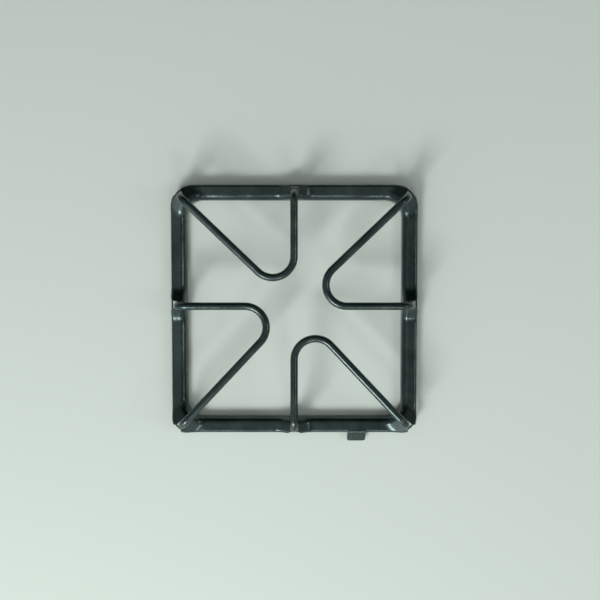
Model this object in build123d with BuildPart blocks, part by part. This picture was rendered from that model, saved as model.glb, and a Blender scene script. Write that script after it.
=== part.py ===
"""Hob pan support: a pressed, nearly square frame that carries four bent wire fingers.

Millimetres, +Z up. The origin is the middle of the frame, on the surface that it stands on.
The rear is at +Y. The front, at -Y, has the tab that shows which way round the support goes.
"""

import os
from math import radians, sqrt, tan

from build123d import *

# Frame: a channel pressed from one sheet, with a skirt inside, a flange and a short lip outside
frame_width = 212.8
frame_depth = 215.0
band_width = 13.2
inner_corner_radius = 14.5
rear_corner_radius = 20.0
front_corner_radius = 14.5
flange_height = 10.7
lip_height = 4.2
rim_height = 2.0
sheet = 1.2
inner_bend_radius = 5.5
outer_bend_radius = 2.6

# Saddles: the flange rises to each wire leg between two creases. A notch opens from the leg to the outer
# edge, narrow at the leg and flared at its mouth, and ends above a rim that runs on round the frame
saddle_width = 25.5
saddle_slope = 37.0
crease_radius = 12.0
ridge_radius = 7.0
notch_width = 4.8
mouth_radius = 5.5

# Tab on the front edge, bent down and outwards
tab_place = 54.2
tab_width = 16.0
tab_reach = 8.5
tab_slope = 40.0
tab_bend_radius = 4.0
tab_corner_radius = 2.6

# Wire fingers: two legs each, joined by a run to the nose and a diagonal run back
wire_diameter = 6.3
support_height = 47.0
nose_radius = 17.6
knee_radius = 8.0
burner_offset = 5.1
foot_height = 2.5
weld_sink = 0.3

# Sizes that follow from those above
wire_radius = wire_diameter / 2
wire_height = support_height - wire_radius
opening_width = frame_width - 2 * band_width
opening_depth = frame_depth - 2 * band_width
rim_top = flange_height - lip_height + rim_height
leg_to_edge = band_width - sheet - wire_radius + weld_sink
side_leg_x = frame_width / 2 - leg_to_edge
side_leg_y = frame_depth / 2 - leg_to_edge
corner_inset = rear_corner_radius - (rear_corner_radius - leg_to_edge) / sqrt(2)
corner_leg_x = frame_width / 2 - corner_inset
corner_leg_y = frame_depth / 2 - corner_inset
front_leg_to_edge = corner_inset * sqrt(2) - front_corner_radius * (sqrt(2) - 1)

# A face whose normal rises less than this stands upright
upright_limit = 0.01

# Each finger's leg at the middle of a side and its leg at a corner: where it stands, which way out it
# faces and how far the frame's outer edge is
finger_legs = {
    "rear_finger": [
        ((0, side_leg_y), (0, 1), leg_to_edge),
        ((-corner_leg_x, corner_leg_y), (-1, 1), leg_to_edge),
    ],
    "right_finger": [
        ((side_leg_x, burner_offset), (1, 0), leg_to_edge),
        ((corner_leg_x, corner_leg_y), (1, 1), leg_to_edge),
    ],
    "front_finger": [
        ((0, -side_leg_y), (0, -1), leg_to_edge),
        ((corner_leg_x, -corner_leg_y), (1, -1), front_leg_to_edge),
    ],
    "left_finger": [
        ((-side_leg_x, burner_offset), (-1, 0), leg_to_edge),
        ((-corner_leg_x, -corner_leg_y), (-1, -1), front_leg_to_edge),
    ],
}
legs = [leg for pair in finger_legs.values() for leg in pair]


def frame_outline(inset=0.0):
    """Plan of the channel between its outer edge and its opening, set in from both."""
    with BuildSketch() as outline:
        Rectangle(frame_width - 2 * inset, frame_depth - 2 * inset)
        fillet(outline.vertices().group_by(Axis.Y)[0], front_corner_radius - inset)
        fillet(outline.vertices().group_by(Axis.Y)[-1], rear_corner_radius - inset)
        RectangleRounded(
            opening_width + 2 * inset, opening_depth + 2 * inset, inner_corner_radius + inset, mode=Mode.SUBTRACT
        )
    return outline.sketch


def below_top(inset=0.0):
    """All that lies below the pressing's top, set in from it."""
    crease = saddle_width / 2
    side = crease + band_width
    peak = flange_height + crease * tan(radians(saddle_slope))
    with BuildPart() as space:
        with BuildSketch(Plane.XY.offset(flange_height - inset)):
            Rectangle(2 * frame_width, 2 * frame_depth)
        extrude(amount=-support_height)
        for place, facing, _ in legs:
            along = Vector(0, 0, 1).cross(Vector(*facing))
            with BuildSketch(Plane(origin=(*place, 0), x_dir=along, z_dir=facing)):
                with BuildLine():
                    FilletPolyline(
                        (-side, 0),
                        (-side, flange_height),
                        (-crease, flange_height),
                        (0, peak),
                        (crease, flange_height),
                        (side, flange_height),
                        (side, 0),
                        radius=[0, 0, crease_radius, ridge_radius, crease_radius, 0, 0],
                        close=True,
                    )
                make_face()
                offset(amount=-inset)
            extrude(amount=2 * band_width, both=True)
    return space.part


def channel_block(inset=0.0):
    """The pressed channel as a full block, or the space inside it when set in by the sheet."""
    with BuildPart() as block:
        with BuildSketch():
            add(frame_outline(inset))
        extrude(amount=support_height)
        add(below_top(inset), mode=Mode.INTERSECT)
        for facing_out, radius in ((False, inner_bend_radius), (True, outer_bend_radius)):
            upright = block.faces().filter_by(lambda face: abs(face.normal_at().Z) < upright_limit)
            walls = upright.filter_by(lambda face: (face.normal_at().dot(face.center()) > 0) == facing_out)
            base = block.edges().group_by(Axis.Z)[0]
            bends = walls.edges().filter_by(Axis.Z, reverse=True) - base
            fillet(bends, radius - inset)
    return block.part


with BuildPart() as below_lip:
    with BuildSketch():
        Rectangle(2 * frame_width, 2 * frame_depth)
        RectangleRounded(
            opening_width + 2 * sheet, opening_depth + 2 * sheet, inner_corner_radius + sheet, mode=Mode.SUBTRACT
        )
    extrude(amount=flange_height - lip_height)

with BuildPart() as tab:
    with BuildSketch(Plane(origin=(tab_place, 0, flange_height), x_dir=(0, -1, 0), z_dir=(-1, 0, 0))):
        with BuildLine():
            FilletPolyline(
                (frame_depth / 2 - band_width / 2, 0),
                (frame_depth / 2, 0),
                (frame_depth / 2 + tab_reach, -tab_reach * tan(radians(tab_slope))),
                radius=tab_bend_radius,
            )
            offset(amount=sheet, side=Side.RIGHT)
        make_face()
    extrude(amount=tab_width / 2, both=True)
    tip = tab.faces().sort_by(Axis.Y)[0]
    tip_corners = tip.edges().filter_by(Axis.X, reverse=True)
    fillet(tip_corners, tab_corner_radius)

with BuildPart() as frame:
    add(channel_block())
    add(channel_block(sheet), mode=Mode.SUBTRACT)
    add(below_lip.part, mode=Mode.SUBTRACT)
    add(tab.part)
    for place, facing, to_edge in legs:
        with BuildSketch(Plane(origin=(*place, foot_height))):
            Circle(wire_radius)
        extrude(amount=support_height, mode=Mode.SUBTRACT)
        with BuildSketch(Plane(origin=(*place, rim_top), x_dir=facing, z_dir=(0, 0, 1))) as notch:
            with Locations((to_edge / 2, 0)):
                Rectangle(to_edge, notch_width)
            with Locations((to_edge + mouth_radius, 0)):
                Rectangle(2 * mouth_radius, notch_width + 4 * mouth_radius)
            mouth = notch.vertices().filter_by_position(Axis.X, to_edge, to_edge)
            fillet(mouth.sort_by(Axis.Y)[1:-1], mouth_radius)
        extrude(amount=support_height, mode=Mode.SUBTRACT)

os.makedirs("parts", exist_ok=True)
frame.part.label = "frame"
export_step(frame.part, "parts/frame.step")

for name, ((side_place, *_), (corner_place, *_)) in finger_legs.items():
    with BuildPart() as finger:
        with BuildLine() as bent_wire:
            FilletPolyline(
                (*side_place, foot_height),
                (*side_place, wire_height),
                (0, burner_offset, wire_height),
                (*corner_place, wire_height),
                (*corner_place, foot_height),
                radius=[knee_radius, nose_radius, knee_radius],
            )
        with BuildSketch(Plane(origin=(*side_place, foot_height))):
            Circle(wire_radius)
        sweep()
    finger.part.label = name
    export_step(finger.part, f"parts/{name}.step")
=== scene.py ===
"""Looks of the hob pan support: dark glossy enamel on the pressed frame and the bent wire fingers."""

from math import cos, radians, sin

import bpy
from mathutils import Matrix, Vector

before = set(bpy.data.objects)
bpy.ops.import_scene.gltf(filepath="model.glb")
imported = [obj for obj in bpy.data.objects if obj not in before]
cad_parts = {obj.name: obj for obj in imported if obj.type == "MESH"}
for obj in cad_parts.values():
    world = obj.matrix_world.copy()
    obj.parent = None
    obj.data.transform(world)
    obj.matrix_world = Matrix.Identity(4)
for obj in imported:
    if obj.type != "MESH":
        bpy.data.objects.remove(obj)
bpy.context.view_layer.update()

MILLIMETRE = 0.001

# Camera, nearly overhead and a little to the rear of the part
PICTURE_SIDE = 600
FOCAL_PIXELS = 848
SENSOR_WIDTH = 36.0
CAMERA_PLACE = Vector((4.7, 50.4, 741.9)) * MILLIMETRE
CAMERA_AIM = Vector((4.9, 7.7, 0.0)) * MILLIMETRE

# Lamps: name, bearing from the front towards the left and elevation in degrees, distance and side in
# metres, and power in watts
LAMPS = [
    ("key_lamp", 30.0, 42.0, 1.6, 0.5, 18.0),
    ("side_lamp", 275.0, 44.0, 1.6, 0.45, 3.0),
    ("front_lamp", 347.0, 47.0, 1.6, 0.25, 2.6),
]

# Room light: levels low at the sides, low at the front, around the front left, and overhead in the
# middle and to the right, and the pale level that the camera sees
LEFT_LEVEL = 0.44
RIGHT_LEVEL = 0.32
FRONT_LEVEL = 0.54
GLOW_LEVEL = 1.0
GLOW_TOWARDS = Vector((-0.60, -0.75, 0.28)).normalized()
OVERHEAD_LEVEL = 0.63
DIM_OVERHEAD_LEVEL = 0.24
PALE_LEVEL = 0.85

# Room light: where each part of it starts and where it is full, as parts of the direction's length
LEFT_TO_RIGHT = (-0.5, 0.5)
SIDES_FADE = (1.0, 0.1)
FRONT_RISE = (-0.2, -0.65)
GLOW_RISE = (0.8, 1.0)
DIM_RISE = (0.05, 0.17)
OVERHEAD_FADE = (0.9, 0.25)
LOW_TO_OVERHEAD = (0.6, 0.95)

FLOOR_SIDE = 12.0
FLOOR_COLOUR = (0.505, 0.575, 0.525, 1.0)
FLOOR_ROUGHNESS = 0.9
FLOOR_SHINE = 0.1

# Enamel: its dark and light tones, its sheen and the softness of its edges
ENAMEL_DEEP = (0.0018, 0.0055, 0.0045, 1.0)
ENAMEL_PALE = (0.0042, 0.0110, 0.0090, 1.0)
ENAMEL_SHEEN = (0.68, 1.0, 0.97, 1.0)
EDGE_SOFTNESS = 0.6 * MILLIMETRE
EDGE_SAMPLES = 6
ENAMEL_IOR = 1.5

# Enamel: sizes of its clouds, slow waves, peel and grain, and the height of its waves and peel
CLOUD_SIZE = 22 * MILLIMETRE
CLOUD_DETAIL = 3.0
WAVE_SIZE = 12 * MILLIMETRE
WAVE_HEIGHT = 1.0 * MILLIMETRE
WAVE_STRENGTH = 0.6
PEEL_SIZE = 2.2 * MILLIMETRE
PEEL_HEIGHT = 0.06 * MILLIMETRE
PEEL_STRENGTH = 0.3
GRAIN_SIZE = 0.7 * MILLIMETRE

# Enamel: where its clouds turn from dark to light, its roughness, and its patches of thicker gloss
CLOUD_RISE = (0.3, 0.7)
LEAST_ROUGHNESS = 0.17
CLOUD_ROUGHNESS = 0.12
GRAIN_ROUGHNESS = 0.05
CLOUD_GLOSS = 0.35
CLOUD_GLOSS_RISE = (0.35, 0.65)
PEEL_GLOSS = 0.2
PEEL_GLOSS_RISE = (0.35, 0.7)
GLOSS_ROUGHNESS = 0.25

# Sockets of a Mix node of colours: its factor, its two colours and its result
MIX_FACTOR = 0
MIX_FIRST = 6
MIX_SECOND = 7
MIX_RESULT = 2


class Signal:
    """One output socket of a node, with arithmetic that adds Math nodes."""

    def __init__(self, socket):
        self.socket = socket

    def node(self, kind, settings=None, sockets=None, output=0):
        """Adds a node of this kind: its settings come first, then the values or links of its sockets."""
        tree = self.socket.id_data
        made = tree.nodes.new(kind)
        for name, value in (settings or {}).items():
            setattr(made, name, value)
        for name, value in (sockets or {}).items():
            if isinstance(value, Signal):
                tree.links.new(value.socket, made.inputs[name])
            else:
                made.inputs[name].default_value = value
        return Signal(made.outputs[output])

    def feed(self, socket):
        """Links this value to a socket."""
        self.socket.id_data.links.new(self.socket, socket)

    def math(self, operation, first, second):
        return self.node("ShaderNodeMath", {"operation": operation}, {0: first, 1: second})

    def __add__(self, other):
        return self.math("ADD", self, other)

    def __sub__(self, other):
        return self.math("SUBTRACT", self, other)

    def __rsub__(self, other):
        return self.math("SUBTRACT", other, self)

    def __mul__(self, other):
        return self.math("MULTIPLY", self, other)

    __radd__ = __add__
    __rmul__ = __mul__

    def noise(self, size, detail=2.0):
        """Noise over this place, its lumps about as large as the given size."""
        sockets = {"Vector": self, "Scale": 1 / size, "Detail": detail}
        return self.node("ShaderNodeTexNoise", None, sockets)

    def between(self, low, high):
        """This value's rise from low to high as a smooth step from 0 to 1."""
        settings = {"interpolation_type": "SMOOTHSTEP"}
        sockets = {"Value": self, "From Min": low, "From Max": high}
        return self.node("ShaderNodeMapRange", settings, sockets)

    def blend(self, first, second):
        """Two colours mixed by this value."""
        sockets = {MIX_FACTOR: self, MIX_FIRST: first, MIX_SECOND: second}
        return self.node("ShaderNodeMix", {"data_type": "RGBA"}, sockets, MIX_RESULT)

    def bump(self, strength, distance, normal):
        """A normal that this height raises or sinks."""
        sockets = {"Height": self, "Strength": strength, "Distance": distance, "Normal": normal}
        return self.node("ShaderNodeBump", None, sockets)


def new_material(name):
    """A new node material, the sockets of its Principled shader and the place on the object."""
    material = bpy.data.materials.new(name)
    material.use_nodes = True
    tree = material.node_tree
    place = Signal(tree.nodes.new("ShaderNodeTexCoord").outputs["Object"])
    return material, tree.nodes["Principled BSDF"].inputs, place


def dark_enamel():
    """Glossy slate-black vitreous enamel, with slow waves, fine peel and soft edges.

    Its tone and roughness are a little cloudy, and it has patches of thicker gloss.
    """
    material, shader, place = new_material("dark_enamel")
    cloud = place.noise(CLOUD_SIZE, CLOUD_DETAIL)
    swell = place.noise(WAVE_SIZE)
    peel = place.noise(PEEL_SIZE)
    grain = place.noise(GRAIN_SIZE)
    tone = cloud.between(*CLOUD_RISE).blend(ENAMEL_DEEP, ENAMEL_PALE)
    roughness = LEAST_ROUGHNESS + CLOUD_ROUGHNESS * cloud + GRAIN_ROUGHNESS * grain
    gloss = CLOUD_GLOSS * cloud.between(*CLOUD_GLOSS_RISE) + PEEL_GLOSS * peel.between(*PEEL_GLOSS_RISE)
    tone.feed(shader["Base Color"])
    roughness.feed(shader["Roughness"])
    gloss.feed(shader["Coat Weight"])
    shader["Coat Roughness"].default_value = GLOSS_ROUGHNESS
    shader["IOR"].default_value = ENAMEL_IOR
    shader["Specular Tint"].default_value = ENAMEL_SHEEN
    soft = place.node("ShaderNodeBevel", {"samples": EDGE_SAMPLES}, {"Radius": EDGE_SOFTNESS})
    waves = swell.bump(WAVE_STRENGTH, WAVE_HEIGHT, soft)
    skin = peel.bump(PEEL_STRENGTH, PEEL_HEIGHT, waves)
    skin.feed(shader["Normal"])
    return material


def pale_floor():
    """The matt finish of the floor."""
    material, shader, _ = new_material("pale_floor")
    shader["Base Color"].default_value = FLOOR_COLOUR
    shader["Roughness"].default_value = FLOOR_ROUGHNESS
    shader["Specular IOR Level"].default_value = FLOOR_SHINE
    return material


def place_floor():
    """A plain square floor at the height that the part stands on."""
    half = FLOOR_SIDE / 2
    corners = [(-half, -half, 0), (half, -half, 0), (half, half, 0), (-half, half, 0)]
    mesh = bpy.data.meshes.new("floor")
    mesh.from_pydata(corners, [], [(0, 1, 2, 3)])
    floor = bpy.data.objects.new("floor", mesh)
    bpy.context.scene.collection.objects.link(floor)
    mesh.materials.append(pale_floor())


def looking(place, aim, up):
    """Matrix of a camera or lamp at a place, facing an aim, with its top towards up."""
    ahead = (aim - place).normalized()
    right = ahead.cross(up).normalized()
    top = right.cross(ahead)
    turned = Matrix((right, top, -ahead)).transposed().to_4x4()
    return Matrix.Translation(place) @ turned


def place_camera():
    """A plain camera with no shift, its picture's top towards the rear of the part."""
    data = bpy.data.cameras.new("camera")
    data.sensor_width = SENSOR_WIDTH
    data.lens = SENSOR_WIDTH * FOCAL_PIXELS / PICTURE_SIDE
    camera = bpy.data.objects.new("camera", data)
    bpy.context.scene.collection.objects.link(camera)
    camera.matrix_world = looking(CAMERA_PLACE, CAMERA_AIM, Vector((0, 1, 0)))
    bpy.context.scene.camera = camera


def place_lamp(name, bearing, elevation, distance, side, power):
    """A square soft lamp that faces the middle of the part."""
    turn = radians(bearing)
    rise = radians(elevation)
    towards = Vector((-sin(turn) * cos(rise), -cos(turn) * cos(rise), sin(rise)))
    data = bpy.data.lights.new(name, "AREA")
    data.size = side
    data.energy = power
    lamp = bpy.data.objects.new(name, data)
    bpy.context.scene.collection.objects.link(lamp)
    lamp.matrix_world = looking(towards * distance, Vector((0, 0, 0)), Vector((0, 0, 1)))


def light_room():
    """A room that is bright at the front and dim at the rear, and plain and pale to the camera.

    Its light goes from the low level to the overhead level as the direction rises.
    """
    world = bpy.data.worlds.new("room")
    world.use_nodes = True
    tree = world.node_tree
    towards = Signal(tree.nodes.new("ShaderNodeTexCoord").outputs["Generated"])
    rightward, rearward, upward = (
        towards.node("ShaderNodeSeparateXYZ", None, {"Vector": towards}, axis) for axis in "XYZ"
    )
    dot_product = {"operation": "DOT_PRODUCT"}
    glow = towards.node("ShaderNodeVectorMath", dot_product, {0: towards, 1: GLOW_TOWARDS}, "Value")
    sides = LEFT_LEVEL + (RIGHT_LEVEL - LEFT_LEVEL) * rightward.between(*LEFT_TO_RIGHT)
    low = sides * rearward.between(*SIDES_FADE) + FRONT_LEVEL * rearward.between(*FRONT_RISE)
    low = low + GLOW_LEVEL * glow.between(*GLOW_RISE)
    dim = rightward.between(*DIM_RISE)
    overhead = OVERHEAD_LEVEL + (DIM_OVERHEAD_LEVEL - OVERHEAD_LEVEL) * dim
    overhead = overhead * rearward.between(*OVERHEAD_FADE)
    level = low + (overhead - low) * upward.between(*LOW_TO_OVERHEAD)
    room = level.node("ShaderNodeBackground", None, {"Color": level})
    pale = (PALE_LEVEL, PALE_LEVEL, PALE_LEVEL, 1.0)
    backdrop = level.node("ShaderNodeBackground", None, {"Color": pale})
    seen = level.node("ShaderNodeLightPath", None, None, "Is Camera Ray")
    shown = level.node("ShaderNodeMixShader", None, {0: seen, 1: room, 2: backdrop})
    shown.feed(tree.nodes["World Output"].inputs["Surface"])
    bpy.context.scene.world = world


enamel = dark_enamel()
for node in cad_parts.values():
    node.data.materials.clear()
    node.data.materials.append(enamel)

place_floor()
place_camera()
for lamp in LAMPS:
    place_lamp(*lamp)
light_room()
bpy.context.scene.view_settings.view_transform = "Standard"
